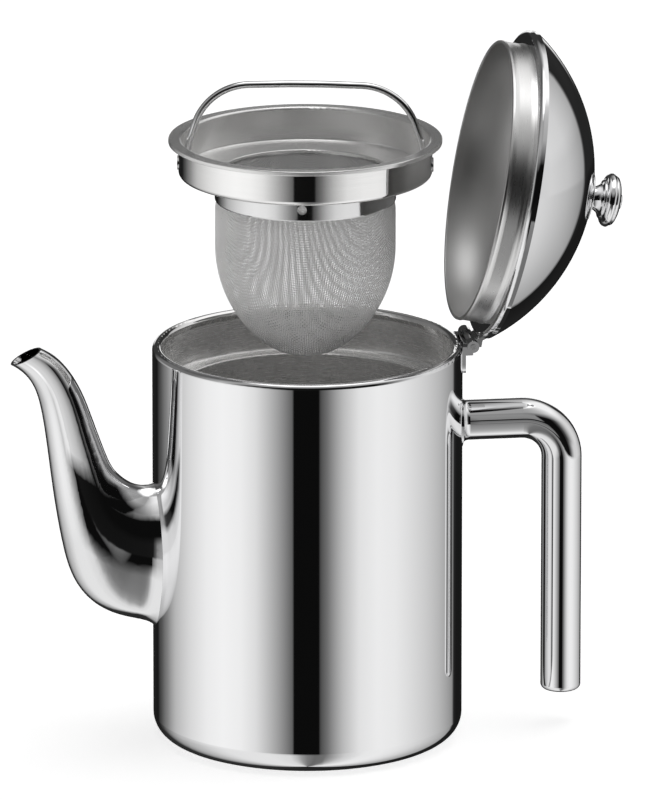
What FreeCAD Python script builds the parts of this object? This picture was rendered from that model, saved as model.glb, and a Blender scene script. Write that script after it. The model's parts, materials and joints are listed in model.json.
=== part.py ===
"""Stainless teapot with a gooseneck spout, tube handle, hinged lid and lift-out infuser.

Frame: millimetres, +Z up, origin at the centre of the pot's flat base. The spout points along -X and
the handle and the lid's hinge are on the +X side. At rest the lid stands open on its stop and the
infuser is held above the mouth.
"""
import FreeCAD
import Part
import Sketcher
import math
import os

Vector = FreeCAD.Vector
Rotation = FreeCAD.Rotation
Placement = FreeCAD.Placement

doc = FreeCAD.newDocument("Teapot")

# ---------------------------------------------------------------------------------- driving sizes
SIZES = [
    ("pot_radius", 56.0, "outside of the pot's wall"),
    ("pot_height", 146.0, "base to top of rim"),
    ("shell_wall", 1.0, "outer shell's sheet"),
    ("heel_radius", 8.4, "round between wall and base"),
    ("nose_radius", 1.8, "half of the rolled rim's width"),
    ("base_radius", 44.0, "welded base disc"),
    ("base_sheet", 1.2, "thickness of the base disc"),
    ("liner_wall", 0.9, "inner vessel's sheet"),
    ("liner_radius", 47.0, "inside of the inner vessel"),
    ("liner_floor", 8.0, "inside floor of the inner vessel"),
    ("liner_round", 9.0, "round between the liner's wall and floor"),
    ("ledge_depth", 16.4, "rim down to the infuser's ledge"),
    ("ledge_hollow", 1.6, "round where the neck meets the ledge"),
    ("ledge_nose", 0.6, "round on the ledge's inner edge"),
    ("port_height", 19.0, "half height of the spout's port"),
    ("port_width", 8.4, "half width of the spout's port"),
    ("port_level", 69.8, "centre of the port above the base"),
    ("port_sheet", 0.9, "sleeve through the double wall"),
    ("spout_wall", 0.9, "spout's sheet"),
    ("handle_tube", 14.6, "handle tube's diameter"),
    ("handle_sheet", 1.2, "handle tube's wall"),
    ("handle_drop", 30.7, "rim down to the arm's centre line"),
    ("handle_reach", 93.0, "pot's axis to the upright rod"),
    ("handle_bend", 15.0, "bend radius of the centre line"),
    ("handle_foot", 12.5, "height of the rod's lower end"),
    ("boss_end", 58.5, "pot's axis to the end of the welded boss"),
    ("boss_flare", 2.6, "round where the boss meets the pot"),
    ("cap_round", 2.0, "round of the rod's end cap"),
    ("hinge_reach", 58.8, "pot's axis to the hinge's axis"),
    ("hinge_drop", 0.4, "rim down to the hinge's axis"),
    ("knuckle_radius", 2.2, "outside of the hinge's knuckles"),
    ("pin_radius", 1.05, "hinge pin"),
    ("pin_play", 0.05, "radial play of the lid's knuckle on the pin"),
    ("lid_knuckle", 6.0, "half length of the lid's knuckle"),
    ("knuckle_gap", 0.25, "gap between knuckles"),
    ("barrel_half", 11.4, "half length of the hinge barrel"),
    ("bracket_half", 11.0, "half width of the hinge's plate"),
    ("bracket_sheet", 1.2, "thickness of the hinge's plates"),
    ("bracket_depth", 11.0, "rim down to the plate's lower edge"),
    ("lid_gap", 0.3, "shut lid above the rim"),
    ("lid_open", 101.0, "opening angle at the stop"),
    ("lid_sheet", 0.9, "lid's sheet"),
    ("lid_edge", 1.8, "round of the lid's edge"),
    ("lid_height", 32.3, "underside to the dome's top"),
    ("dome_radius", 68.5, "outside sphere of the dome"),
    ("collar_depth", 8.8, "underside down to the collar's free edge"),
    ("collar_lip", 51.0, "radius of the collar's two lips"),
    ("collar_waist", 50.7, "radius of the collar between its lips"),
    ("collar_bore", 50.3, "inside of the collar"),
    ("pan_mouth", 49.75, "inside of the pan at its mouth"),
    ("pan_side", 22.0, "round of the pan's side"),
    ("pan_rise", 25.0, "underside up to the pan's top"),
    ("flange_radius", 49.2, "infuser's flange"),
    ("flange_sheet", 1.6, "thickness of the flange"),
    ("infuser_offset", 0.7, "infuser sits this much away from the hinge"),
    ("infuser_rise", 76.8, "raised flange above the rim"),
    ("infuser_yaw", -10.0, "turn of the bail's axis about the vertical"),
    ("tub_radius", 45.6, "outside of the infuser's collar"),
    ("tub_wall", 1.1, "sheet of the infuser's collar"),
    ("tub_depth", 13.6, "flange down to the underside of the shoulder"),
    ("tub_round", 1.6, "outside round of the shoulder"),
    ("tub_hole", 31.0, "hole in the shoulder"),
    ("ring_radius", 32.6, "basket's clamping ring, outside"),
    ("ring_wall", 0.7, "sheet of the clamping ring"),
    ("vent_drop", 18.4, "flange down to the centre of the ring's vent"),
    ("vent_radius", 1.7, "vent in the ring"),
    ("ring_depth", 22.6, "flange down to the ring's lower edge"),
    ("mesh_wall", 0.8, "thickness of the woven basket"),
    ("mesh_radius", 32.6, "woven basket at its widest"),
    ("mesh_side", 45.0, "round of the basket's side"),
    ("mesh_foot", 25.5, "round of the basket's foot"),
    ("mesh_level", 40.0, "flange down to where the side starts to turn"),
    ("bail_wire", 1.25, "radius of the bail's wire"),
    ("bail_drop", 9.6, "flange down to the bail's axis"),
    ("bail_half", 42.3, "half span of the bail at its axis"),
    ("bail_side", 6.0, "height where the bail starts to lean in"),
    ("bail_lean", 17.0, "lean of the bail's sides"),
    ("bail_round", 21.0, "round of the bail's shoulders"),
    ("bail_height", 29.4, "height of the bail's centre line"),
    ("eyelet_radius", 2.1, "bush that holds the bail's end"),
    ("knob_radius", 9.8, "knob's rim"),
    ("knob_height", 10.9, "dome's top to the knob's face"),
    ("rose_radius", 9.2, "plate under the knob"),
    ("stud_radius", 2.0, "knob's threaded stud"),
]

sheet = doc.addObject("Spreadsheet::Sheet", "Sizes")
for row, (alias, number, note) in enumerate(SIZES, start=1):
    sheet.set(f"A{row}", note)
    sheet.set(f"B{row}", str(number))
    sheet.setAlias(f"B{row}", alias)
doc.recompute()


class Size:
    """A number together with the spreadsheet expression that drives it."""

    def __init__(self, value, text):
        self.value = float(value)
        self.text = text

    def _join(self, sign, other, value):
        return Size(value, f"({self.text} {sign} {as_size(other).text})")

    def __add__(self, other):
        return self._join("+", other, self.value + as_size(other).value)

    def __sub__(self, other):
        return self._join("-", other, self.value - as_size(other).value)

    def __mul__(self, other):
        return self._join("*", other, self.value * as_size(other).value)

    def __neg__(self):
        return Size(-self.value, f"(-1 * {self.text})")

    def root(self):
        return Size(math.sqrt(self.value), f"sqrt({self.text})")


def as_size(number):
    return number if isinstance(number, Size) else Size(number, repr(float(number)))


def size(alias):
    return Size(sheet.get(alias), "Sizes." + alias)


S = {alias: size(alias) for alias, _, _ in SIZES}
N = {alias: S[alias].value for alias in S}
ZERO = as_size(0)


# ------------------------------------------------------------------------------ modelling helpers
def bind(item, field, value):
    value = as_size(value)
    setattr(item, field, value.value)
    item.setExpression(field, value.text)


def on_sphere(radius, sphere, top):
    """Height at a radius on a sphere whose top is on the axis."""
    radius, sphere = as_size(radius), as_size(sphere)
    return as_size(top) - sphere + (sphere * sphere - radius * radius).root()


def origin_plane(body, role):
    return next(item for item in body.Origin.OriginFeatures if item.Role == role)


def new_body(label, place=None):
    body = doc.addObject("PartDesign::Body", label + "_body")
    body.Label = label
    if place is not None:
        body.Placement = place
    return body


def new_sketch(body, name, role="XZ_Plane", offset=None):
    sketch = body.newObject("Sketcher::SketchObject", name)
    sketch.AttachmentSupport = [(origin_plane(body, role), "")]
    sketch.MapMode = "FlatFace"
    if offset is not None:
        sketch.AttachmentOffset = offset
    return sketch


def pin_vertex(sketch, edge, end, across, up):
    """Hold one end of a sketch edge at a driven place."""
    for kind, axis, coordinate in (("DistanceX", -2, across), ("DistanceY", -1, up)):
        if coordinate.text == ZERO.text:
            sketch.addConstraint(Sketcher.Constraint("PointOnObject", edge, end, axis))
            continue
        index = sketch.addConstraint(Sketcher.Constraint(kind, edge, end, coordinate.value))
        sketch.setExpression(f"Constraints[{index}]", coordinate.text)


def arc_through(start, stop, radius, turn):
    """The short arc from start to stop: turn is +1 to the left and -1 to the right."""
    chord = stop - start
    half = chord.Length / 2
    side = Vector(-chord.y, chord.x, 0).normalize() * turn
    centre = (start + stop) * 0.5 + side * math.sqrt(max(radius ** 2 - half ** 2, 0))
    first, last = (start, stop) if turn > 0 else (stop, start)
    angles = [math.atan2(point.y - centre.y, point.x - centre.x) for point in (first, last)]
    return Part.ArcOfCircle(Part.Circle(centre, Vector(0, 0, 1), radius), *angles)


def draw(sketch, corners, closed=True):
    """Draw an outline. A corner is (across, up), or (across, up, radius, turn) when an arc leads to it."""
    corners = [tuple(as_size(item) for item in corner[:3]) + corner[3:] for corner in corners]
    count = len(corners) if closed else len(corners) - 1
    edges = []
    for index in range(count):
        here, there = corners[index], corners[(index + 1) % len(corners)]
        start, stop = (Vector(point[0].value, point[1].value, 0) for point in (here, there))
        if len(there) == 4:
            edge = sketch.addGeometry(arc_through(start, stop, there[2].value, there[3]), False)
            radius = sketch.addConstraint(Sketcher.Constraint("Radius", edge, there[2].value))
            sketch.setExpression(f"Constraints[{radius}]", there[2].text)
            edges.append((edge, 1, 2) if there[3] > 0 else (edge, 2, 1))
        else:
            edges.append((sketch.addGeometry(Part.LineSegment(start, stop), False), 1, 2))
        pin_vertex(sketch, edges[-1][0], edges[-1][1], here[0], here[1])
    if not closed:
        pin_vertex(sketch, edges[-1][0], edges[-1][2], corners[-1][0], corners[-1][1])
    for index in range(count if closed else count - 1):
        this, following = edges[index], edges[(index + 1) % count]
        sketch.addConstraint(Sketcher.Constraint("Coincident", this[0], this[2], following[0], following[1]))


def spun(label, corners, place=None):
    """A piece turned about its own vertical axis from an outline in (radius, height)."""
    body = new_body(label, place)
    sketch = new_sketch(body, label + "_outline")
    draw(sketch, corners)
    turn = body.newObject("PartDesign::Revolution", label + "_turn")
    turn.Profile = sketch
    turn.ReferenceAxis = (sketch, ["V_Axis"])
    turn.Angle = 360
    return body


def round_sketch(body, name, radius, role="XY_Plane", offset=None, centre=(0, 0)):
    sketch = new_sketch(body, name, role, offset)
    sketch.addGeometry(Part.Circle(Vector(*centre, 0), Vector(0, 0, 1), radius.value), False)
    for kind, axis, value in (("DistanceX", -2, centre[0]), ("DistanceY", -1, centre[1])):
        if abs(value) < 1e-9:
            sketch.addConstraint(Sketcher.Constraint("PointOnObject", 0, 3, axis))
        else:
            sketch.addConstraint(Sketcher.Constraint(kind, 0, 3, value))
    index = sketch.addConstraint(Sketcher.Constraint("Radius", 0, radius.value))
    sketch.setExpression(f"Constraints[{index}]", radius.text)
    return sketch


def primitive(kind, name, place=None, **sizes):
    """A Part primitive whose sizes are bound to the sheet."""
    item = doc.addObject("Part::" + kind, name)
    for field, value in sizes.items():
        bind(item, field, value)
    if place is not None:
        item.Placement = place
    return item


def boolean(kind, name, base, tool):
    item = doc.addObject("Part::" + kind, name)
    item.Base = base
    item.Tool = tool
    return item


def joined(name, *items):
    item = doc.addObject("Part::MultiFuse", name)
    item.Shapes = list(items)
    return item


def along_y(across, half, up=0.0):
    """Placement that lays a cylinder along Y, centred on the XZ plane."""
    return Placement(Vector(across, half, up), Rotation(Vector(1, 0, 0), 90))


# ------------------------------------------------------------------------------------ placements
HINGE = Vector(N["hinge_reach"], 0, N["pot_height"] - N["hinge_drop"])
SHUT_LID = Placement(Vector(0, 0, N["pot_height"] + N["lid_gap"]), Rotation())
OPENED = Placement(Vector(), Rotation(Vector(0, 1, 0), N["lid_open"]), HINGE)
LID = OPENED * SHUT_LID
FLANGE_LEVEL = N["pot_height"] + N["infuser_rise"]
INFUSER = Placement(
    Vector(-N["infuser_offset"], 0, FLANGE_LEVEL), Rotation(Vector(0, 0, 1), N["infuser_yaw"])
)
PIECES = {}


def keep(node, item):
    item.Label = node
    PIECES[node] = item


# ------------------------------------------------------------------------------------ the pot
def make_pot_vessels():
    """Outer shell, inner liner and base disc, with a port through both walls for the spout."""
    outside, top, sheet_ = S["pot_radius"], S["pot_height"], S["shell_wall"]
    heel, nose = S["heel_radius"], S["nose_radius"]
    inside = outside - sheet_
    shell = spun("shell_blank", [
        (S["base_radius"], 0),
        (outside - heel, 0),
        (outside, heel, heel, 1),
        (outside, top - nose),
        (outside - nose, top, nose, 1),
        (outside - nose, top - sheet_),
        (inside, top - nose, nose - sheet_, -1),
        (inside, heel),
        (outside - heel, sheet_, heel - sheet_, -1),
        (S["base_radius"], sheet_),
    ])
    wall, bore, neck = S["liner_wall"], S["liner_radius"], outside - nose * 2
    ledge, hollow, edge = top - S["ledge_depth"], S["ledge_hollow"], S["ledge_nose"]
    floor, corner = S["liner_floor"], S["liner_round"]
    liner = spun("liner_blank", [
        (outside - nose, top),
        (neck, top - nose, nose, 1),
        (neck, ledge + hollow),
        (neck - hollow, ledge, hollow, -1),
        (bore + edge, ledge),
        (bore, ledge - edge, edge, 1),
        (bore, floor + corner),
        (bore - corner, floor, corner, -1),
        (0, floor),
        (0, floor - wall),
        (bore - corner, floor - wall),
        (bore + wall, floor + corner, corner + wall, 1),
        (bore + wall, ledge - wall - hollow),
        (bore + wall + hollow, ledge - wall, hollow, -1),
        (neck - hollow, ledge - wall),
        (neck + wall, ledge + hollow, hollow + wall, 1),
        (neck + wall, top - nose),
        (outside - nose, top - wall, nose - wall, -1),
    ])
    for name, blank in (("outer_shell", shell), ("inner_liner", liner)):
        plug = elliptic_rod(name + "_port", S["port_height"], S["port_width"])
        keep(name, boolean("Cut", name + "_cut", blank, plug))
    keep("base_disc", spun("base_disc", [
        (0, 0), (S["base_radius"], 0), (S["base_radius"], S["base_sheet"]), (0, S["base_sheet"]),
    ]))


def elliptic_rod(name, half_height, half_width, reach=14.0):
    """A rod of elliptic section along -X through the pot's wall, at the height of the spout's port."""
    start = Vector(-(N["liner_radius"] - 4.0), 0, N["port_level"])
    ring = primitive("Ellipse", name + "_ring", MajorRadius=half_height, MinorRadius=half_width)
    ring.Placement = Placement(start, Rotation(Vector(0, 0, 1), Vector(0, 1, 0), Vector(-1, 0, 0), "XYZ"))
    rod = doc.addObject("Part::Extrusion", name + "_rod")
    rod.Base = ring
    rod.DirMode = "Custom"
    rod.Dir = Vector(-1, 0, 0)
    rod.LengthFwd = reach
    rod.Solid = True
    return rod


def pot_column(name, radius):
    """A plain column on the pot's axis, used to trim what is welded to the wall."""
    return primitive("Cylinder", name, Radius=radius, Height=S["pot_height"] + 40)


def make_port_sleeve():
    """Oval sleeve that joins the liner to the shell, so that the gap between the walls stays sealed."""
    tube = boolean(
        "Cut", "sleeve_tube",
        elliptic_rod("sleeve_out", S["port_height"], S["port_width"]),
        elliptic_rod("sleeve_in", S["port_height"] - S["port_sheet"], S["port_width"] - S["port_sheet"]),
    )
    trimmed = boolean("Common", "sleeve_trimmed", tube, pot_column("sleeve_limit", S["pot_radius"]))
    keep("spout_port_sleeve", boolean(
        "Cut", "sleeve_cut", trimmed, pot_column("sleeve_bore", S["liner_radius"])
    ))


# Each spout section runs from the outer, lower edge to the inner, upper edge of the tube:
# (outer x, outer z, inner x, inner z, half width). The first three flare out onto the pot's wall.
SPOUT_SECTIONS = [
    (-50.0, 38.9, -50.0, 98.0, 14.6),
    (-55.2, 42.1, -55.2, 96.3, 12.8),
    (-57.6, 43.9, -57.6, 95.6, 11.9),
    (-61.5, 45.3, -60.5, 95.5, 11.4),
    (-68.0, 47.0, -64.0, 96.5, 11.0),
    (-76.6, 51.2, -67.3, 98.6, 10.8),
    (-84.6, 60.4, -70.3, 101.7, 10.5),
    (-89.6, 76.5, -72.8, 106.3, 10.0),
    (-92.6, 95.0, -75.3, 113.0, 9.3),
    (-94.8, 112.6, -78.4, 121.8, 8.5),
    (-96.7, 125.0, -81.9, 131.0, 7.7),
    (-99.6, 134.4, -87.2, 140.2, 6.7),
    (-107.6, 142.4, -96.6, 148.0, 5.6),
]


# An ellipse as one closed quadratic spline: its nine poles as (depth, width, weight) of the unit circle.
HALF = math.sqrt(0.5)
CIRCLE_POLES = [
    (1, 0, 1), (1, 1, HALF), (0, 1, 1), (-1, 1, HALF), (-1, 0, 1),
    (-1, -1, HALF), (0, -1, 1), (1, -1, HALF), (1, 0, 1),
]


def spout_skin(name, inset):
    """Solid bounded by a smooth skin through the spout's oval sections, each made smaller by inset."""
    stations = []
    for low_x, low_z, high_x, high_z, half_width in SPOUT_SECTIONS:
        low, high = Vector(low_x, 0, low_z), Vector(high_x, 0, high_z)
        depth = high - low
        half_depth = depth.Length / 2 - inset
        middle = (low + high) * 0.5
        stations.append([middle, depth.normalize() * half_depth, Vector(0, half_width - inset, 0)])
    if inset:
        # The bore runs a little past both ends, so that it opens them cleanly.
        for end, beside in ((0, 1), (-1, -2)):
            stations[end][0] += (stations[end][0] - stations[beside][0]).normalize() * 0.2
    travel = [0.0]
    for before, after in zip(stations, stations[1:]):
        travel.append(travel[-1] + (after[0] - before[0]).Length)
    grid = []
    for deep, wide, _ in CIRCLE_POLES:
        track = Part.BSplineCurve()
        track.interpolate(Points=[mid + depth * deep + width * wide for mid, depth, width in stations],
                          Parameters=travel)
        grid.append(track.getPoles())
    surface = Part.BSplineSurface()
    surface.buildFromPolesMultsKnots(
        grid, [3, 2, 2, 2, 3], track.getMultiplicities(), [0, 1, 2, 3, 4], track.getKnots(),
        False, False, 2, track.Degree, [[weight] * len(track.getPoles()) for _, _, weight in CIRCLE_POLES],
    )
    skin = surface.toShape()
    ends = [surface.vIso(travel[end]).toShape() for end in (0, -1)]
    caps = [Part.Face(Part.Wire([edge])) for edge in ends]
    shell = Part.Shell(Part.makeCompound([skin] + caps).Faces)
    shell.sewShape()
    solid = Part.Solid(shell)
    solid.fix(1e-4, 1e-4, 1e-3)
    if solid.Volume < 0:
        solid.reverse()
    item = doc.addObject("Part::Feature", name)
    item.Shape = solid
    return item


def make_spout():
    """Hollow gooseneck spout, trimmed to sit on the pot's wall."""
    outside, inside = spout_skin("spout_out", 0), spout_skin("spout_in", N["spout_wall"])
    hollow = boolean("Cut", "spout_hollow", outside, inside)
    keep("spout", boolean("Cut", "spout_cut", hollow, pot_column("spout_seat", S["pot_radius"])))


def make_handle():
    """Bent tube, open only inside, with a flared boss on the pot and a closed lower end."""
    arm, rod = S["pot_height"] - S["handle_drop"], S["handle_reach"]
    bend, foot = S["handle_bend"], S["handle_foot"] + S["cap_round"]
    tube = new_body("handle_tube")
    path = new_sketch(tube, "handle_path")
    draw(path, [
        (S["boss_end"], arm), (rod - bend, arm), (rod, arm - bend, bend, -1), (rod, foot),
    ], closed=False)
    start = Placement(Vector(0, 0, N["boss_end"]), Rotation())
    radius = S["handle_tube"] * 0.5
    for kind, name, size_ in (
        ("AdditivePipe", "handle_outside", radius),
        ("SubtractivePipe", "handle_inside", radius - S["handle_sheet"]),
    ):
        ring = round_sketch(tube, name + "_ring", size_, "YZ_Plane", start, (0, arm.value))
        pipe = tube.newObject("PartDesign::" + kind, name)
        pipe.Profile = ring
        pipe.Spine = (path, ["Edge1", "Edge2", "Edge3"])
    keep("handle_tube", tube)

    flare, end = S["boss_flare"], S["boss_end"]
    lying = Placement(Vector(0, 0, arm.value), Rotation(Vector(0, 1, 0), 90))
    inside = S["pot_radius"] - 4
    boss = spun("boss_blank", [
        (0, inside), (radius + flare, inside), (radius + flare, end - flare),
        (radius, end, flare, -1), (0, end),
    ], lying)
    keep("handle_boss", boolean("Cut", "boss_cut", boss, pot_column("boss_seat", S["pot_radius"])))

    rounded = S["cap_round"]
    keep("handle_end_cap", spun("handle_end_cap", [
        (0, 0), (radius - rounded, 0), (radius, rounded, rounded, 1),
        (radius - S["handle_sheet"], rounded),
        (radius - S["handle_sheet"], rounded + 2), (0, rounded + 2),
    ], Placement(Vector(rod.value, 0, N["handle_foot"]), Rotation())))


# ------------------------------------------------------------------------------------ the hinge
def knuckle(name, low, high, radius):
    """A barrel along Y on the hinge's axis, from low to high."""
    length = high - low
    place = Placement(Vector(HINGE.x, high.value, HINGE.z), Rotation(Vector(1, 0, 0), 90))
    return primitive("Cylinder", name, place, Radius=radius, Height=length)


def make_hinge():
    """Plate with two knuckles welded to the pot, and the pin pressed into them."""
    half, sheet_, radius = S["bracket_half"], S["bracket_sheet"], S["pot_radius"]
    low = S["pot_height"] - S["bracket_depth"]
    corner = 4.0
    blade = new_body("bracket_blade")
    face = new_sketch(blade, "bracket_face", "YZ_Plane")
    top = S["pot_height"] - S["nose_radius"] - 0.4
    draw(face, [
        (-half + corner, low, corner, 1), (half - corner, low), (half, low + corner, corner, 1),
        (half, top), (-half, top), (-half, low + corner),
    ])
    pad = blade.newObject("PartDesign::Pad", "bracket_pad")
    pad.Profile = face
    bind(pad, "Length", S["pot_radius"] + 6)
    curved = boolean("Common", "bracket_curved", blade, pot_column("bracket_outside", radius + sheet_))
    joint = S["lid_knuckle"] + S["knuckle_gap"]
    barrel, outer = [], S["barrel_half"]
    for name, first, last in (("near", -outer, -joint), ("far", joint, outer)):
        barrel.append(knuckle("knuckle_" + name, first, last, S["knuckle_radius"]))
        web = primitive(
            "Box", "web_" + name,
            Placement(
                Vector(N["pot_radius"] - 2, max(first.value, -N["bracket_half"]), HINGE.z - 3.2), Rotation(),
            ),
            Length=S["hinge_reach"] - radius + 2, Width=half - joint, Height=3.2,
        )
        barrel.append(web)
    solid = joined("bracket_joined", curved, *barrel)
    seated = boolean("Cut", "bracket_seated", solid, pot_column("bracket_seat", radius))
    bored = boolean("Cut", "bracket_bored", seated, knuckle("bracket_bore", -outer, outer, S["pin_radius"]))
    keep("hinge_bracket", bored)
    keep("hinge_pin", knuckle("hinge_pin", -outer - 0.3, outer + 0.3, S["pin_radius"]))


def make_lid_leaf():
    """Leaf welded on the dome's edge, with the knuckle that turns on the pin."""
    half, sheet_ = S["lid_knuckle"], S["bracket_sheet"]
    centre = Placement(Vector(0, 0, N["lid_height"] - N["dome_radius"]), Rotation())
    cap = primitive("Sphere", "leaf_cap", centre, Radius=S["dome_radius"] + sheet_)
    strap = primitive(
        "Box", "leaf_strap", Placement(Vector(48, -half.value, 2.6), Rotation()),
        Length=12, Width=half * 2, Height=5.4,
    )
    pad = boolean("Common", "leaf_pad", strap, cap)
    barrel = primitive(
        "Cylinder", "leaf_barrel", along_y(N["hinge_reach"], half.value, -N["hinge_drop"] - N["lid_gap"]),
        Radius=S["knuckle_radius"], Height=half * 2,
    )
    web = primitive(
        "Box", "leaf_web", Placement(Vector(N["pot_radius"] - 1.5, -half.value, -0.3), Rotation()),
        Length=S["hinge_reach"] - S["pot_radius"] + 2.4, Width=half * 2, Height=3.6,
    )
    solid = joined("leaf_joined", pad, barrel, web)
    dome = primitive("Sphere", "leaf_dome", centre, Radius=S["dome_radius"])
    rim = primitive(
        "Cylinder", "leaf_rim", Placement(Vector(0, 0, -1), Rotation()),
        Radius=S["pot_radius"], Height=on_sphere(S["pot_radius"], S["dome_radius"], S["lid_height"]) + 1,
    )
    bore = primitive(
        "Cylinder", "leaf_bore", along_y(N["hinge_reach"], half.value + 1, -N["hinge_drop"] - N["lid_gap"]),
        Radius=S["pin_radius"] + S["pin_play"], Height=half * 2 + 2,
    )
    for name, tool in (("leaf_on_dome", dome), ("leaf_on_rim", rim), ("leaf_bored", bore)):
        solid = boolean("Cut", name, solid, tool)
    placed = doc.addObject("Part::Feature", "lid_hinge_leaf")
    doc.recompute()
    placed.Shape = solid.Shape.Solids[0]
    placed.Placement = LID
    keep("lid_hinge_leaf", placed)


# ------------------------------------------------------------------------------------ the lid
def make_lid():
    """Dome, collar and inner pan. Heights are measured from the underside of the lid's edge."""
    radius, sheet_, edge = S["pot_radius"], S["lid_sheet"], S["lid_edge"]
    top, sphere, bore = S["lid_height"], S["dome_radius"], S["collar_lip"]
    inner, hole = radius - sheet_, S["stud_radius"]
    keep("lid_dome", spun("lid_dome", [
        (bore, 0), (radius - edge, 0), (radius, edge, edge, 1), (radius, on_sphere(radius, sphere, top)),
        (hole, on_sphere(hole, sphere, top), sphere, 1),
        (hole, on_sphere(hole, sphere - sheet_, top - sheet_)),
        (inner, on_sphere(inner, sphere - sheet_, top - sheet_), sphere - sheet_, -1),
        (inner, edge), (radius - edge, sheet_, edge - sheet_, -1), (bore, sheet_),
    ], LID))

    lip, waist, bored, depth = S["collar_lip"], S["collar_waist"], S["collar_bore"], S["collar_depth"]
    keep("lid_collar", spun("lid_collar", [
        (bored, -depth + 0.6), (lip - 0.1, -depth + 0.3), (lip, -depth + 1.0),
        (waist, -depth + 2.6, 6, -1), (waist, -1.8), (lip, -0.4, 5, -1), (lip, 1.6), (bored, 1.6),
    ], LID))

    mouth, side, rise, wall = S["pan_mouth"], S["pan_side"], S["pan_rise"], S["collar_bore"] - S["pan_mouth"]
    turn_level = -(depth - 1.2)
    # The crown's sphere is tangent to the side's round, which gives its radius.
    offset = N["pan_mouth"] - N["pan_side"]
    drop = turn_level.value - N["pan_rise"]
    crown = (offset ** 2 + drop ** 2 - N["pan_side"] ** 2) / (-2 * drop - 2 * N["pan_side"])
    reach = crown - N["pan_side"]
    across = Vector(offset, turn_level.value - (N["pan_rise"] - crown), 0) * (1 / reach)
    join = Vector(offset, turn_level.value, 0) + across * N["pan_side"]
    join_out = join + across * wall.value
    keep("lid_inner_pan", spun("lid_inner_pan", [
        (mouth, -depth + 0.5, 0.5, -1), (mouth, turn_level), (join.x, join.y, side, 1), (0, rise, crown, 1),
        (0, rise + wall), (join_out.x, join_out.y, as_size(crown) + wall, -1),
        (mouth + wall, turn_level, side + wall, -1),
        (mouth + wall, -depth + 0.6), (lip - 0.1, -depth + 0.3), (lip - 0.4, -depth), (mouth + 0.5, -depth),
    ], LID))


def make_knob():
    """Turned knob on its rose, held by a stud, washer and nut above the pan."""
    top = Placement(Vector(0, 0, N["lid_height"]), Rotation())
    place = LID * top
    rose, stud = S["rose_radius"], S["stud_radius"]
    sag = on_sphere(rose, S["dome_radius"], 0)
    keep("knob_rose", spun("knob_rose", [
        (stud, on_sphere(stud, S["dome_radius"], 0)), (rose, sag, S["dome_radius"], -1), (rose, sag + 0.5),
        (rose - 0.4, sag + 0.9, 0.4, 1), (4.4, 0.8), (stud, 0.8),
    ], place))
    face, rim = S["knob_height"], S["knob_radius"]
    keep("knob", spun("knob", [
        (stud, 0.8), (4.0, 0.8), (5.7, 3.9, 5.2, -1), (6.7, 4.3), (7.2, 5.0, 0.8, 1), (7.9, 5.3, 0.6, -1),
        (rim, 7.4, 2.3, 1), (rim - 0.5, 8.3, 1.2, 1), (rim - 0.9, 8.4), (rim - 0.7, 8.8, 0.3, 1),
        (rim - 1.3, 9.7, 1.3, 1), (5.2, face, 9.0, 1), (3.4, face), (3.4, face - 0.4), (stud, face - 0.4),
    ], place))
    keep("knob_button", spun("knob_button", [
        (0, face - 0.4), (3.0, face - 0.4), (3.0, face + 0.4),
        (2.2, on_sphere(2.2, 12, face + 1.3), 0.9, 1), (0, face + 1.3, 12, 1),
    ], place))
    under = -S["lid_sheet"] - 3.4
    keep("knob_stud", spun("knob_stud", [
        (0, under), (stud - 0.4, under), (stud, under + 0.4), (stud, face - 0.4), (0, face - 0.4),
    ], place))
    flat = on_sphere(4.0, S["dome_radius"] - S["lid_sheet"], -S["lid_sheet"]).value
    keep("knob_washer", spun("knob_washer", [
        (stud + 0.1, flat - 0.7), (4.5, flat - 0.7), (4.0, flat), (stud + 0.1, flat),
    ], place))
    nut = new_body("knob_nut", place)
    level = Placement(Vector(0, 0, flat - 0.7 - 2.2), Rotation())
    hexagon = new_sketch(nut, "nut_hexagon", "XY_Plane", level)
    turns = [math.radians(60 * corner) for corner in range(6)]
    draw(hexagon, [(3.9 * math.cos(turn), 3.9 * math.sin(turn)) for turn in turns])
    pad = nut.newObject("PartDesign::Pad", "nut_pad")
    pad.Profile = hexagon
    pad.Length = 2.2
    bore = round_sketch(nut, "nut_bore", stud, "XY_Plane", Placement(Vector(0, 0, flat), Rotation()))
    pocket = nut.newObject("PartDesign::Pocket", "nut_pocket")
    pocket.Profile = bore
    pocket.Length = 5
    keep("knob_nut", nut)


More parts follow.
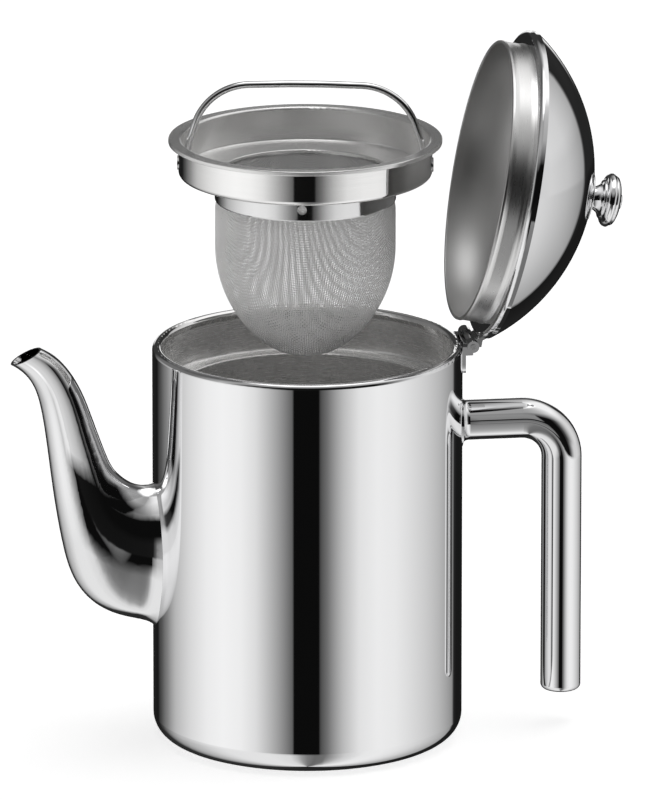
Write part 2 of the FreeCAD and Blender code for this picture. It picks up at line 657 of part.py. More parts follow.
# ------------------------------------------------------------------------------------ the infuser
def make_infuser():
    """Flanged collar, clamping ring and woven basket. Heights are measured from the flange's top."""
    flange, sheet_, wall = S["flange_radius"], S["flange_sheet"], S["tub_wall"]
    tub, deep, turned = S["tub_radius"], S["tub_depth"], S["tub_round"]
    hole = S["tub_hole"]
    inside = tub - wall
    collar = spun("collar_blank", [
        (inside + 1, 0, 1, -1), (flange - 0.4, 0), (flange, -0.4, 0.4, -1), (flange, -sheet_ + 0.3),
        (flange - 0.3, -sheet_, 0.3, -1), (tub, -sheet_),
        (tub, -deep + turned), (tub - turned, -deep, turned, -1), (hole, -deep), (hole, -deep + wall - 0.4),
        (hole + 0.4, -deep + wall, 0.4, -1), (inside - 1, -deep + wall), (inside, -deep + wall + 1, 1, 1),
        (inside, -1),
    ], INFUSER)
    axle = S["eyelet_radius"]
    holes = []
    for name, side in (("left", -1), ("right", 1)):
        local = Placement(
            Vector(side * (N["tub_radius"] - 3), 0, -N["bail_drop"]), Rotation(Vector(0, 1, 0), 90 * side),
        )
        holes.append(primitive("Cylinder", "collar_hole_" + name, INFUSER * local, Radius=axle, Height=6))
    keep("infuser_collar", boolean("Cut", "collar_cut", collar, joined("collar_holes", *holes)))

    ring, thin, skirt = S["ring_radius"], S["ring_wall"], S["ring_depth"]
    blank = spun("ring_blank", [
        (ring - thin, -skirt + 0.2), (ring - 0.2, -skirt), (ring, -skirt + 0.4),
        (ring, -deep), (ring - thin, -deep),
    ], INFUSER)
    local = Placement(Vector(0, -(N["ring_radius"] - 3), -N["vent_drop"]), Rotation(Vector(1, 0, 0), 90))
    vent = primitive("Cylinder", "ring_vent", INFUSER * local, Radius=S["vent_radius"], Height=6)
    keep("basket_ring", boolean("Cut", "ring_cut", blank, vent))

    widest, side, foot, level = N["mesh_radius"], N["mesh_side"], N["mesh_foot"], N["mesh_level"]
    cloth, held = N["mesh_wall"], N["ring_radius"] - N["ring_wall"]
    # The side's round and the foot's round meet tangentially, which sets the foot's depth.
    side_centre = Vector(widest - side, -level, 0)
    drop = math.sqrt((side - foot) ** 2 - side_centre.x ** 2)
    foot_centre = Vector(0, -level - drop, 0)
    inward = (foot_centre - side_centre).normalize()
    meet, meet_in = (foot_centre + inward * radius for radius in (foot, foot - cloth))
    bottom = foot_centre.y - foot
    keep("mesh_basket", spun("mesh_basket", [
        (held, -deep - 1), (held, -skirt - 0.4), (widest, -skirt - 4.5), (widest, -level),
        (meet.x, meet.y, side, -1), (0, bottom, foot, -1), (0, bottom + cloth),
        (meet_in.x, meet_in.y, foot - cloth, 1), (widest - cloth, -level, side - cloth, 1),
        (widest - cloth, -skirt - 4.5), (held - cloth, -skirt - 0.4), (held - cloth, -deep - 1),
    ], INFUSER))

    wire = S["bail_wire"]
    for name, side in (("left", -1), ("right", 1)):
        seat = Placement(Vector(0, 0, -N["bail_drop"]), Rotation(Vector(0, 1, 0), 90 * side))
        keep("eyelet_" + name, spun("eyelet_" + name, [
            (wire + 0.05, inside - 0.05), (axle, inside - 0.05), (axle, tub), (axle + 0.5, tub),
            (axle + 0.5, tub + 0.4), (wire + 0.05, tub + 0.4),
        ], INFUSER * seat))


def make_bail():
    """Round wire handle whose two ends turn outwards into the collar's eyelets."""
    half, side, height = N["bail_half"], N["bail_side"], N["bail_height"]
    end = N["tub_radius"] + 0.3
    axis = Placement(Vector(0, 0, -N["bail_drop"]), Rotation())
    shoulder = half - (height - side) * math.tan(math.radians(N["bail_lean"]))
    left = rounded_path(
        [Vector(-end, 0, 0), Vector(-half, 0, 0), Vector(-half, 0, side),
         Vector(-shoulder, 0, height - 0.8), Vector(-6, 0, height), Vector(0, 0, height)],
        [1.9, 12.0, N["bail_round"], 160.0],
    )
    mirrored = [edge.mirror(Vector(), Vector(1, 0, 0)) for edge in reversed(left)]
    path = Part.Wire(Part.__sortEdges__(left + mirrored))
    ring = Part.Wire(Part.makeCircle(N["bail_wire"], Vector(-end, 0, 0), Vector(1, 0, 0)))
    bail = doc.addObject("Part::Feature", "bail")
    bail.Shape = path.makePipeShell([ring], True, False)
    bail.Placement = INFUSER * axis
    keep("bail", bail)


def rounded_path(points, radii):
    """Straight runs through the points, with an arc of the given radius at each inner point."""
    edges, start = [], points[0]
    for before, here, after, radius in zip(points, points[1:], points[2:], radii):
        coming, going = (here - before).normalize(), (after - here).normalize()
        half_turn = coming.getAngle(going) / 2
        setback = radius * math.tan(half_turn)
        enter, leave = here - coming * setback, here + going * setback
        bisector = (going - coming).normalize()
        middle = here + bisector * (radius / math.cos(half_turn) - radius)
        edges.append(Part.makeLine(start, enter))
        edges.append(Part.Arc(enter, middle, leave).toShape())
        start = leave
    edges.append(Part.makeLine(start, points[-1]))
    return edges


# ------------------------------------------------------------------------------------ build
for make in (
    make_pot_vessels, make_port_sleeve, make_spout, make_handle, make_hinge,
    make_lid, make_lid_leaf, make_knob, make_infuser, make_bail,
):
    make()
    doc.recompute()

for item in doc.Objects:
    if "Invalid" in item.State or "Error" in item.State:
        raise RuntimeError(f"{item.Name} failed: {item.State}")
os.makedirs("parts", exist_ok=True)
for node, item in PIECES.items():
    if item.Shape.isNull() or not item.Shape.isValid():
        raise RuntimeError(f"{node} has no valid shape")
    item.Shape.exportStep(f"parts/{node}.step")
    box = item.Shape.BoundBox
    print(f"{node}: {item.Shape.Volume:.1f} mm3, {box.XLength:.1f} x {box.YLength:.1f} x {box.ZLength:.1f}")
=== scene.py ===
"""Looks of the stainless teapot: polished shell, satin inner parts and a woven wire infuser.

Places that come from the frame are in metres. Plain numbers say their unit above them.
"""
import math

import bpy
import json
import numpy as np
from mathutils import Matrix, Vector


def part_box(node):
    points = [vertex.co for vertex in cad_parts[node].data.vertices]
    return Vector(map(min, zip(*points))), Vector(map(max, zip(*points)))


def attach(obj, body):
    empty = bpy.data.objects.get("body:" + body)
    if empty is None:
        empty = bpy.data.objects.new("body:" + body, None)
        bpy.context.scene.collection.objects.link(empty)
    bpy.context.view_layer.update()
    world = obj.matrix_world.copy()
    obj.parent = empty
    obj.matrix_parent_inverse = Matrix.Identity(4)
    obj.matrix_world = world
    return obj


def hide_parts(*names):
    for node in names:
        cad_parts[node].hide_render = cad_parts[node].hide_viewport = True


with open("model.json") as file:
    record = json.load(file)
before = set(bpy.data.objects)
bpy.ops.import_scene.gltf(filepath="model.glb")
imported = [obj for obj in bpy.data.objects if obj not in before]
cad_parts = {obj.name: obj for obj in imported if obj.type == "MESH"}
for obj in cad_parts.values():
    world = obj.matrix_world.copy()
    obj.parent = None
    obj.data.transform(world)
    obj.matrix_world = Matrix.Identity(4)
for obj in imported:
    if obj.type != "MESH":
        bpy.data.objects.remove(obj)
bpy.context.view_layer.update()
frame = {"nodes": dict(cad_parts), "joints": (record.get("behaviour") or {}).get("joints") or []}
MM = 0.001
joints = {joint["name"]: joint for joint in frame["joints"]}

# ---------------------------------------------------------------- places from the frame, in metres
HINGE = Vector(joints["lid_hinge"]["pos_m"])
OPEN_ANGLE = -joints["lid_hinge"]["range_deg"][0]
BAIL_AXIS = Vector(joints["bail_swing"]["axis"])
BAIL_POINT = Vector(joints["bail_swing"]["pos_m"])
FLANGE_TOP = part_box("infuser_collar")[1].z

# --------------------------------------------------------------------------- sizes in millimetres
shell_low, shell_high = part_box("outer_shell")
POT_R = (shell_high.y - shell_low.y) / 2 / MM
POT_H = shell_high.z / MM
LID_GAP = 0.3
RIM_ROLL = 4.2
RIM_FOOT = 142.8
COLLAR_R = 45.2
FLANGE_UNDERSIDE = -1.8


def turn_about(point, axis, degrees):
    turn = Matrix.Rotation(math.radians(degrees), 4, axis)
    return Matrix.Translation(point) @ turn @ Matrix.Translation(-point)


# Own frames of the turned pieces, with Z up their axis. The lid's lies just above the pot's rim when the
# lid is shut. The infuser's lies at the top of its flange, with X along the bail's hinge.
LID = turn_about(HINGE, "Y", OPEN_ANGLE) @ Matrix.Translation((0, 0, (POT_H + LID_GAP) * MM))
INFUSER = Matrix.Translation((BAIL_POINT.x, BAIL_POINT.y, FLANGE_TOP)) @ Matrix.Rotation(
    math.atan2(BAIL_AXIS.y, BAIL_AXIS.x), 4, "Z")

# Where a satin sheet is polished: beyond a radius and between two heights of its own frame, and how
# rough it is there. NO_END is a height that no piece reaches.
NO_END = 1.0
POLISHED_RIM = ((POT_R - RIM_ROLL) * MM, RIM_FOOT * MM, NO_END, 0.03)
POLISHED_COLLAR = (COLLAR_R * MM, -NO_END, FLANGE_UNDERSIDE * MM, 0.07)


# ------------------------------------------------------------------------------------------ nodes
def add_node(tree, kind, inputs=(), **settings):
    node = tree.nodes.new(kind)
    for name, value in settings.items():
        setattr(node, name, value)
    for socket, value in dict(inputs).items():
        if isinstance(value, bpy.types.NodeSocket):
            tree.links.new(value, node.inputs[socket])
        else:
            node.inputs[socket].default_value = value
    return node


def maths(tree, operation, *values):
    return add_node(tree, "ShaderNodeMath", dict(enumerate(values)), operation=operation).outputs[0]


def mapped_range(tree, value, low, high):
    node = add_node(tree, "ShaderNodeMapRange", {"Value": value, "To Min": low, "To Max": high})
    return node.outputs["Result"]


def noise(tree, place, scale, detail):
    node = add_node(tree, "ShaderNodeTexNoise", {"Vector": place, "Scale": scale, "Detail": detail})
    return node.outputs["Fac"]


def object_place(tree):
    return add_node(tree, "ShaderNodeTexCoord").outputs["Object"]


def add_bump(tree, shader, height, strength, distance):
    bump = add_node(tree, "ShaderNodeBump", {"Height": height, "Strength": strength, "Distance": distance})
    tree.links.new(bump.outputs["Normal"], shader.inputs["Normal"])


# ------------------------------------------------------------------------------------- materials
def new_material(name, base, roughness, metallic=1.0):
    material = bpy.data.materials.new(name)
    material.use_nodes = True
    shader = material.node_tree.nodes["Principled BSDF"]
    shader.inputs["Base Color"].default_value = (*base, 1)
    shader.inputs["Metallic"].default_value = metallic
    shader.inputs["Roughness"].default_value = roughness
    return material, material.node_tree, shader


def polished(name, base=(0.88, 0.88, 0.885), roughness=(0.012, 0.035), wave=0.006):
    """Polished sheet: faint haze that varies, and a very slight long wave in the surface."""
    material, tree, shader = new_material(name, base, roughness[0])
    place = object_place(tree)
    haze = noise(tree, place, scale=55.0, detail=5.0)
    tree.links.new(mapped_range(tree, haze, *roughness), shader.inputs["Roughness"])
    swell = noise(tree, place, scale=22.0, detail=1.0)
    add_bump(tree, shader, swell, wave, distance=0.002)
    return material


def turned_place(tree, own_frame, along=0.0016):
    """Radius, height, and a texture place that hardly changes along a ring round the own frame's Z axis."""
    place = add_node(tree, "ShaderNodeMapping", {
        "Vector": object_place(tree),
        "Location": own_frame.to_translation(),
        "Rotation": own_frame.to_euler(),
    }, vector_type="TEXTURE").outputs["Vector"]
    parts = add_node(tree, "ShaderNodeSeparateXYZ", {"Vector": place}).outputs
    flat = add_node(tree, "ShaderNodeCombineXYZ", {"X": parts["X"], "Y": parts["Y"]}).outputs["Vector"]
    radius = add_node(tree, "ShaderNodeVectorMath", {0: flat}, operation="LENGTH").outputs["Value"]
    angle = maths(tree, "ARCTAN2", parts["Y"], parts["X"])
    lines = add_node(tree, "ShaderNodeCombineXYZ", {
        "X": maths(tree, "MULTIPLY", angle, along), "Y": radius, "Z": parts["Z"]}).outputs["Vector"]
    return radius, parts["Z"], lines


def inside_part(tree, radius, height, reach, low, high):
    """1 beyond the radius called reach and between two heights, and 0 elsewhere."""
    outer = maths(tree, "GREATER_THAN", radius, reach)
    above = maths(tree, "GREATER_THAN", height, low)
    under = maths(tree, "LESS_THAN", height, high)
    return maths(tree, "MULTIPLY", outer, maths(tree, "MULTIPLY", above, under))


def brushed(name, own_frame=Matrix(), tint=0.72, roughness=(0.2, 0.36), grain=0.1, tone=0.1, metallic=1.0,
            polished_part=None, streak=0.0):
    """Satin finish with fine lines that run round the Z axis of the piece's own frame.

    The grain is the depth of the lines, the tone how much their colour varies, and the streak how far
    reflections are drawn out across them. A polished_part is one of the places named above.
    """
    base = (tint, tint * 0.995, tint * 0.987)
    material, tree, shader = new_material(name, base, roughness[0], metallic)
    radius, height, lines = turned_place(tree, own_frame)
    fine = noise(tree, lines, scale=5200.0, detail=3.0)
    broad = noise(tree, lines, scale=700.0, detail=2.0)
    haze = mapped_range(tree, fine, *roughness)
    if polished_part:
        *where, smooth = polished_part
        bright = inside_part(tree, radius, height, *where)
        haze = mapped_range(tree, bright, haze, smooth)
        tree.links.new(mapped_range(tree, bright, metallic, 1.0), shader.inputs["Metallic"])
    tree.links.new(haze, shader.inputs["Roughness"])
    shade = add_node(tree, "ShaderNodeMixRGB", {
        "Fac": broad,
        "Color1": (*[c * (1 - tone) for c in base], 1),
        "Color2": (*[min(1.0, c * (1 + tone)) for c in base], 1),
    })
    tree.links.new(shade.outputs["Color"], shader.inputs["Base Color"])
    add_bump(tree, shader, fine, grain, distance=0.0002)
    if streak:
        ring = add_node(tree, "ShaderNodeTangent", direction_type="RADIAL", axis="Z")
        tree.links.new(ring.outputs["Tangent"], shader.inputs["Tangent"])
        shader.inputs["Anisotropic"].default_value = streak
        shader.inputs["Anisotropic Rotation"].default_value = 0.25
    return material


FINISHES = [
    (polished("mirror_polished_steel"),
     ["outer_shell", "spout", "handle_tube", "handle_boss", "handle_end_cap", "lid_dome", "bail",
      "hinge_bracket", "knob", "knob_rose", "knob_button"]),
    (polished("hinge_leaf_steel", (0.6, 0.6, 0.6), (0.1, 0.16)), ["lid_hinge_leaf"]),
    (polished("hinge_pin_steel", (0.95, 0.95, 0.95), (0.3, 0.36)), ["hinge_pin"]),
    (brushed("turned_base_disc", tone=0.2), ["base_disc"]),
    (brushed("satin_liner", tint=0.97, roughness=(0.25, 0.29), grain=0.0, tone=0.03, metallic=0.7,
             polished_part=POLISHED_RIM, streak=0.8), ["inner_liner", "spout_port_sleeve"]),
    (brushed("satin_collar", LID, tint=0.85, roughness=(0.24, 0.34), grain=0.04, tone=0.04),
     ["lid_collar"]),
    (brushed("satin_lid_pan", LID, tint=0.62, roughness=(0.4, 0.48), grain=0.01, tone=0.02),
     ["lid_inner_pan"]),
    (brushed("satin_infuser", INFUSER, tint=0.93, roughness=(0.22, 0.28), grain=0.01, tone=0.03,
             metallic=0.75, polished_part=POLISHED_COLLAR, streak=0.75), ["infuser_collar"]),
    (polished("bright_ring", (0.8, 0.8, 0.8), (0.07, 0.12)), ["basket_ring"]),
    (brushed("plain_fastener", LID, tone=0.2), ["knob_stud", "knob_washer", "knob_nut"]),
    (polished("eyelet_steel", roughness=(0.12, 0.2)), ["eyelet_left", "eyelet_right"]),
]
for material, nodes in FINISHES:
    for node in nodes:
        cad = frame["nodes"][node]
        cad.data.materials.clear()
        cad.data.materials.append(material)

# -------------------------------------------------------------------- woven basket, in millimetres
# The cup in the infuser's own frame: a round foot runs into a wider curve, then comes an upright wall
# and a slight neck. Heights are from the top of the flange, and NECK_IN and RIM_IN are inward from the
# wall.
CUP_SHEET = 0.8
FOOT_CURVE = 25.1
SIDE_CURVE = 44.6
WALL_FOOT = -40.0
WALL_HEAD = -26.0
NECK_HEIGHT = -22.0
NECK_IN = 0.6
RIM_HEIGHT = -14.0
RIM_IN = 0.7


def basket_track(curve_steps=60, wall_steps=20, samples=400):
    """Arc length, radius and height along the cup's middle surface, from its lowest point to its rim."""
    mesh_low, mesh_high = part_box("mesh_basket")
    widest = (mesh_high.y - mesh_low.y) / 2 / MM - CUP_SHEET / 2
    bottom = (mesh_low.z - FLANGE_TOP) / MM + CUP_SHEET / 2
    side_centre = widest - SIDE_CURVE
    foot_centre = bottom + FOOT_CURVE
    tilt = math.acos(min(1.0, -side_centre / (SIDE_CURVE - FOOT_CURVE)))
    points = [(FOOT_CURVE * math.sin(a), foot_centre - FOOT_CURVE * math.cos(a))
              for a in np.linspace(0, math.pi / 2 - tilt, curve_steps)]
    points += [(side_centre + SIDE_CURVE * math.cos(a), WALL_FOOT - SIDE_CURVE * math.sin(a))
               for a in np.linspace(tilt, 0, curve_steps)[1:]]
    points += [(widest, z) for z in np.linspace(WALL_FOOT, WALL_HEAD, wall_steps)[1:]]
    points += [(widest - NECK_IN, NECK_HEIGHT), (widest - RIM_IN, RIM_HEIGHT)]
    points = np.array(points)
    length = np.concatenate([[0], np.cumsum(np.linalg.norm(np.diff(points, axis=0), axis=1))])
    even = np.linspace(0, length[-1], samples)
    return even, np.interp(even, length, points[:, 0]), np.interp(even, length, points[:, 1])


def unit(vectors):
    return vectors / np.linalg.norm(vectors, axis=1)[:, None]


def on_cup(track, u, v):
    """Points of the cup and its outward normals. Both u and v run along the cup from its lowest point."""
    arc, radius, height = track
    s = np.clip(np.hypot(u, v), 1e-6, arc[-1])
    cos, sin = u / s, v / s
    r, z = np.interp(s, arc, radius), np.interp(s, arc, height)
    dr, dz = np.interp(s, arc, np.gradient(radius, arc)), np.interp(s, arc, np.gradient(height, arc))
    return np.stack([r * cos, r * sin, z], 1), unit(np.stack([cos * dz, sin * dz, -dr], 1))


def wire_tube(middle, normal, wire, sides, first):
    """Corners and faces of the thin tube along a wire's middle line, its corners numbered from first."""
    beside = unit(np.cross(unit(np.gradient(middle, axis=0)), normal))
    count = len(middle)
    corners, faces = [], []
    for k in range(sides):
        turn = 2 * math.pi * k / sides
        corners.append(middle + normal * (wire * math.cos(turn)) + beside * (wire * math.sin(turn)))
        a, b = first + k * count, first + (k + 1) % sides * count
        faces += [(a + i, a + i + 1, b + i + 1, b + i) for i in range(count - 1)]
    return np.concatenate(corners), faces


def woven(name, across, pitch=0.9, wire=0.17, step=0.8, sides=3):
    """One family of the cloth's wires, laid on the cup, over and under the other family.

    The wire is its radius, and the step is how far it leaves the cup's middle surface, in radii.
    """
    track = basket_track()
    reach = track[0][-1]
    verts, faces = [], []
    lines = int(reach / pitch)
    for row in range(-lines, lines + 1):
        offset = (row + 0.5) * pitch
        if abs(offset) >= reach:
            continue
        half = int(math.sqrt(reach ** 2 - offset ** 2) / pitch)
        run = np.arange(-half, half + 1) * pitch
        if len(run) < 3:
            continue
        beside = np.full_like(run, offset)
        surface, normal = on_cup(track, run, beside) if across else on_cup(track, beside, run)
        over = np.where((np.arange(len(run)) + row + half) % 2 == 0, 1.0, -1.0) * (1 if across else -1)
        middle = surface + normal * (over * wire * step)[:, None]
        corners, strips = wire_tube(middle, normal, wire, sides, len(verts))
        verts.extend(map(tuple, corners * MM))
        faces += strips
    mesh = bpy.data.meshes.new(name)
    mesh.from_pydata(verts, [], faces)
    mesh.shade_smooth()
    piece = bpy.data.objects.new(name, mesh)
    bpy.context.scene.collection.objects.link(piece)
    piece.matrix_world = INFUSER
    return piece


def wire_steel(name):
    """Fine wire, only a quarter metallic, because such fine cloth scatters light as a pale surface does."""
    material, tree, shader = new_material(name, (0.96, 0.955, 0.95), 0.34, 0.25)
    speckle = noise(tree, object_place(tree), scale=900.0, detail=2.0)
    tree.links.new(mapped_range(tree, speckle, 0.22, 0.42), shader.inputs["Roughness"])
    return material


WIRE = wire_steel("woven_wire_steel")
for name, across in (("basket_weft_wires", True), ("basket_warp_wires", False)):
    cloth = woven(name, across)
    cloth.data.materials.append(WIRE)
    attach(cloth, "infuser")
    if across:
        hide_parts("mesh_basket")

# ----------------------------------------------------------------------------------------- camera
# The distance is in metres, and the sensor and the aim are in millimetres.
VIEW_AZIMUTH = math.radians(-8.0)
VIEW_ELEVATION = math.radians(15.7)
VIEW_DISTANCE = 4.5
PICTURE_HEIGHT = 800
PIXELS_PER_MM = 2.75
SENSOR = 36
AIM_RIGHT = 6.0
AIM_BELOW_RIM = 20.25
sin_a, cos_a = math.sin(VIEW_AZIMUTH), math.cos(VIEW_AZIMUTH)
sin_e, cos_e = math.sin(VIEW_ELEVATION), math.cos(VIEW_ELEVATION)
right = Vector((cos_a, sin_a, 0))
nearer = Vector((sin_a, -cos_a, 0))
up = Vector((-sin_a * sin_e, cos_a * sin_e, cos_e))
back = Vector((sin_a * cos_e, -cos_a * cos_e, sin_e))


def make_camera():
    """Long lens from the photograph's direction, at the scale that the pot was measured at."""
    data = bpy.data.cameras.new("camera")
    data.sensor_width = SENSOR
    data.lens = SENSOR * VIEW_DISTANCE / (PICTURE_HEIGHT / PIXELS_PER_MM * MM)
    data.clip_start = 0.1
    data.clip_end = 60
    camera = bpy.data.objects.new("camera", data)
    target = right * (AIM_RIGHT * MM) + up * (POT_H * cos_e - AIM_BELOW_RIM) * MM
    camera.location = target + back * VIEW_DISTANCE
    camera.rotation_mode = "QUATERNION"
    camera.rotation_quaternion = back.to_track_quat("Z", "Y")
    bpy.context.scene.collection.objects.link(camera)
    bpy.context.scene.camera = camera


make_camera()

# ------------------------------------------------------------------------------- floor, in metres
FLOOR_RADIUS = 2.4
FLOOR_LEVEL = -0.0002
FADE_FROM = 1.5
FADE_TO = FLOOR_RADIUS * 0.97


def floor_disc(rings=24, spokes=96):
    """Flat disc whose rings lie closer together near the object."""
    verts = [(0, 0, FLOOR_LEVEL)]
    for ring in range(1, rings + 1):
        reach = FLOOR_RADIUS * (ring / rings) ** 2
        for k in range(spokes):
            turn = 2 * math.pi * k / spokes
            verts.append((reach * math.cos(turn), reach * math.sin(turn), FLOOR_LEVEL))
    faces = [(0, 1 + k, 1 + (k + 1) % spokes) for k in range(spokes)]
    for ring in range(rings - 1):
        a, b = 1 + ring * spokes, 1 + (ring + 1) * spokes
        faces += [(a + k, b + k, b + (k + 1) % spokes, a + (k + 1) % spokes) for k in range(spokes)]
    mesh = bpy.data.meshes.new("pale_floor")
    mesh.from_pydata(verts, [], faces)
    return mesh


def floor_paint(glow=0.62):
    """Pale paint that glows a little, so that shadows stay faint, and fades out towards the disc's edge."""
    material, tree, shader = new_material("pale_floor_paint", (0.9, 0.9, 0.9), 0.6, 0.0)
    distance = add_node(tree, "ShaderNodeVectorMath", {0: object_place(tree)}, operation="LENGTH")
    fade = add_node(tree, "ShaderNodeMapRange", {
        "Value": distance.outputs["Value"],
        "From Min": FADE_FROM, "From Max": FADE_TO, "To Min": 1.0, "To Max": 0.0,
    }, interpolation_type="SMOOTHSTEP")
    tree.links.new(fade.outputs["Result"], shader.inputs["Alpha"])
    shader.inputs["Emission Color"].default_value = (1, 1, 1, 1)
    shader.inputs["Emission Strength"].default_value = glow
    return material


def make_floor():
    """The floor stays out of reflections, where the world's lowest ring of light takes its place."""
    mesh = floor_disc()
    mesh.materials.append(floor_paint())
    floor = bpy.data.objects.new("pale_floor", mesh)
    bpy.context.scene.collection.objects.link(floor)
    floor.visible_glossy = False


make_floor()

# ----------------------------------------------------------------------------------------- studio
# The light that comes from all round, as rings of soft boxes and dark flags. A stop is (compass angle,
# light). The angle is in degrees from the camera's side, positive to the camera's right, and the light
# changes evenly between stops. The light of the stops comes from brightness that was measured in the
# photograph's reflections, divided by the steel's own reflectance, rounded, and then adjusted.
# UPRIGHT, the ring that upright walls reflect, follows the measured averages most closely.
UNDER = [
    (-180, 0.02), (-142, 0.03), (-128, 0.3), (-112, 0.48), (-97, 0.58), (-82, 0.72), (-66, 0.84),
    (-50, 0.86), (-30, 0.86), (-14, 0.78), (-9, 0.6), (-5, 0.36), (0, 0.22), (6, 0.15), (14, 0.18),
    (30, 0.68), (45, 0.9), (60, 0.93), (75, 0.86), (90, 0.76), (105, 0.62), (120, 0.5), (138, 0.38),
    (142, 0.01), (180, 0.02),
]
UPRIGHT = [
    (-180, 0.02), (-150, 0.01), (-141, 0.08), (-129, 0.25), (-117, 0.52), (-99, 0.76), (-81, 0.94),
    (-66, 1.0), (-51, 0.955), (-39, 0.81), (-27, 0.51), (-15, 0.22), (-11, 0.13), (-10.2, 0.004),
    (9.1, 0.004), (9.9, 0.08), (15, 0.18), (27, 0.56), (39, 0.85), (54, 0.945), (69, 0.91), (81, 0.82),
    (99, 0.68), (117, 0.52), (138, 0.3), (142, 0.02), (148, 0.01), (180, 0.01),
]
LEVEL = [
    (-180, 0.02), (-151, 0.02), (-140, 0.25), (-120, 0.5), (-95, 0.7), (-78, 0.85), (-62, 0.85),
    (-48, 0.84), (-40, 0.78), (-30, 0.4), (-22, 0.12), (-14, 0.01), (50, 0.004), (58, 0.1), (68, 0.4),
    (78, 0.68), (99, 0.72), (117, 0.6), (138, 0.36), (141, 0.02), (165, 0.02), (180, 0.02),
]
RAISED = [
    (-180, 0.04), (-152, 0.04), (-140, 0.16), (-120, 0.17), (-95, 0.16), (-78, 0.34), (-66, 0.5),
    (-56, 0.3), (-44, 0.06), (-30, 0.004), (50, 0.004), (60, 0.06), (72, 0.3), (85, 0.6), (100, 0.76),
    (115, 0.7), (138, 0.44), (141, 0.02), (165, 0.03), (180, 0.04),
]
OVERHEAD = [
    (-180, 0.4), (-165, 0.3), (-150, 0.16), (-120, 0.08), (-100, 0.14), (-80, 0.3), (-60, 0.4),
    (-30, 0.42), (-5, 0.36), (25, 0.36), (50, 0.5), (75, 0.75), (95, 1.0), (150, 1.0), (165, 0.7),
    (180, 0.4),
]
ZENITH = [(-180, 1.9), (180, 1.9)]
# UNDER fills the lowest part. Each ring here takes over from the one before it between two heights, in
# degrees above the horizon.
BANDS = [(UPRIGHT, -29, -19), (LEVEL, -13.8, -12.6), (RAISED, -3, 3), (OVERHEAD, 27, 44), (ZENITH, 64, 76)]
# A white card on the horizon behind the object, seen past the floor's edge from low viewpoints.
HORIZON_WIDTH = [(-180, 1.0), (-169, 1.0), (-165, 0.0), (165, 0.0), (169, 1.0), (180, 1.0)]
HORIZON_HEIGHT = [(-90, 0.0), (-8, 0.0), (-6, 1.0), (6, 1.0), (8, 0.0), (90, 0.0)]
ALL_ROUND = 360
BOTTOM_TO_TOP = 180


def ramp(tree, share, stops, span):
    """Light looked up from stops whose places run over span degrees, with 0 in the middle."""
    node = add_node(tree, "ShaderNodeValToRGB", {"Fac": share})
    elements = node.color_ramp.elements
    elements.remove(elements[-1])
    for index, (where, light) in enumerate(stops):
        place = where / span + 0.5
        element = elements[0] if index == 0 else elements.new(place)
        element.position = place
        element.color = (light, light, light, 1)
    return node.outputs["Color"]


def mixed(tree, share, below, above):
    node = add_node(tree, "ShaderNodeMixRGB", {"Fac": share, "Color1": below, "Color2": above})
    return node.outputs["Color"]


def world_direction(tree):
    """Compass angle and height of a direction, each as a share of its span."""
    place = add_node(tree, "ShaderNodeTexCoord").outputs["Generated"]
    turned = add_node(tree, "ShaderNodeVectorRotate", {
        "Vector": place, "Angle": -VIEW_AZIMUTH}, rotation_type="Z_AXIS").outputs["Vector"]
    parts = add_node(tree, "ShaderNodeSeparateXYZ", {"Vector": turned}).outputs
    angle = maths(tree, "ARCTAN2", parts["X"], maths(tree, "MULTIPLY", parts["Y"], -1.0))
    rise = maths(tree, "ARCSINE", parts["Z"])
    compass = add_node(tree, "ShaderNodeMapRange", {
        "Value": angle, "From Min": -math.pi, "From Max": math.pi})
    height = add_node(tree, "ShaderNodeMapRange", {
        "Value": rise, "From Min": -math.pi / 2, "From Max": math.pi / 2})
    return compass.outputs["Result"], height.outputs["Result"]


def make_world():
    """Studio round the object: soft boxes and dark flags set by compass direction and height."""
    world = bpy.data.worlds.new("studio")
    bpy.context.scene.world = world
    world.use_nodes = True
    tree = world.node_tree
    compass, height = world_direction(tree)
    light = ramp(tree, compass, UNDER, ALL_ROUND)
    for stops, low, high in BANDS:
        ring = ramp(tree, compass, stops, ALL_ROUND)
        share = ramp(tree, height, [(-90, 0.0), (low, 0.0), (high, 1.0), (90, 1.0)], BOTTOM_TO_TOP)
        light = mixed(tree, share, light, ring)
    card = maths(tree, "MULTIPLY", ramp(tree, compass, HORIZON_WIDTH, ALL_ROUND),
                 ramp(tree, height, HORIZON_HEIGHT, BOTTOM_TO_TOP))
    light = mixed(tree, card, light, (1.0, 1.0, 1.0, 1.0))
    background = tree.nodes["Background"]
    tree.links.new(light, background.inputs["Color"])
    background.inputs["Strength"].default_value = 1.0


# Graded cards on the camera's side of the object, in millimetres. A row is (height, start, width,
# light). The start is measured to the camera's right of the pot's axis. A fade's stop is (share of the
# width, share of the light). NEARER is how far a card stands from the axis towards the camera's side.
# The light on the cards was chosen from the same measured brightness.
SPOUT_ROWS = [
    (96, -105, 64, 0.0), (104, -107, 64, 1.0), (118, -111, 66, 1.0), (135, -115, 66, 1.0),
    (150, -119, 66, 1.0), (165, -121, 66, 1.0), (178, -121, 66, 0.0),
]
SPOUT_FADE = [
    (0.0, 0.0), (0.125, 0.5), (0.22, 0.74), (0.34, 0.72), (0.42, 0.66), (0.57, 0.56), (0.735, 0.38),
    (0.87, 0.26), (0.955, 0.12), (1.0, 0.0),
]
SPOUT_NEARER = 52
HANDLE_ROWS = [
    (78, 95, 85, 0.0), (86, 95, 85, 0.24), (112, 95, 85, 0.17), (124, 95, 85, 0.15), (128, 95, 85, 0.0),
    (140, 95, 85, 0.0), (146, 95, 85, 0.24), (200, 95, 85, 0.28), (250, 95, 85, 0.0),
]
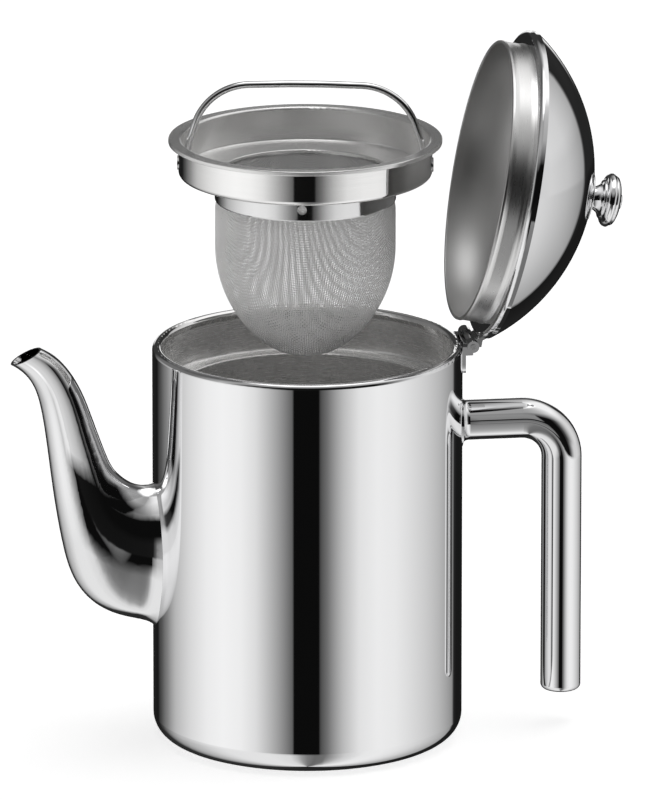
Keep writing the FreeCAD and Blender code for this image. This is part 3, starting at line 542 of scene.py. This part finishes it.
HANDLE_FADE = [(0.0, 0.0), (0.15, 1.0), (0.85, 1.0), (1.0, 0.0)]
HANDLE_NEARER = 150


def card_mesh(name, rows, fade, distance):
    """Upright grid of the card's rows and fade, with the light at each corner kept in its UV map."""
    verts, lights = [], []
    for height, start, width, strength in rows:
        for share, light in fade:
            place = right * (start + share * width) + nearer * distance + Vector((0, 0, height))
            verts.append(tuple(place * MM))
            lights.append(light * strength)
    columns = len(fade)
    faces = [(k, k + 1, k + columns + 1, k + columns)
             for k in range(len(verts) - columns) if (k + 1) % columns]
    mesh = bpy.data.meshes.new(name)
    mesh.from_pydata(verts, [], faces)
    layer = mesh.uv_layers.new(name="light")
    for loop in mesh.loops:
        layer.data[loop.index].uv = (lights[loop.vertex_index], 0.5)
    return mesh


def card_light(name):
    """Adds the card's light to what lies behind it, and hides nothing."""
    material = bpy.data.materials.new(name)
    material.use_nodes = True
    tree = material.node_tree
    tree.nodes.remove(tree.nodes["Principled BSDF"])
    kept = add_node(tree, "ShaderNodeUVMap", uv_map="light").outputs["UV"]
    graded = add_node(tree, "ShaderNodeSeparateXYZ", {"Vector": kept}).outputs["X"]
    glow = add_node(tree, "ShaderNodeEmission", {"Strength": graded}).outputs["Emission"]
    clear = add_node(tree, "ShaderNodeBsdfTransparent").outputs["BSDF"]
    both = add_node(tree, "ShaderNodeAddShader", {0: glow, 1: clear})
    tree.links.new(both.outputs["Shader"], tree.nodes["Material Output"].inputs["Surface"])
    return material


def make_card(name, rows, fade, distance, lit_node):
    """Card that lights one CAD node only, and is seen in the reflections of that node alone."""
    mesh = card_mesh(name, rows, fade, distance)
    mesh.materials.append(card_light(name + "_light"))
    card = bpy.data.objects.new(name, mesh)
    bpy.context.scene.collection.objects.link(card)
    card.visible_camera = False
    card.visible_diffuse = False
    card.visible_shadow = False
    lit = bpy.data.collections.new("lit_by_" + name)
    lit.objects.link(frame["nodes"][lit_node])
    card.light_linking.receiver_collection = lit


make_world()
make_card("spout_card", SPOUT_ROWS, SPOUT_FADE, SPOUT_NEARER, "spout")
make_card("handle_card", HANDLE_ROWS, HANDLE_FADE, HANDLE_NEARER, "handle_tube")
bpy.context.scene.view_settings.view_transform = "Standard"
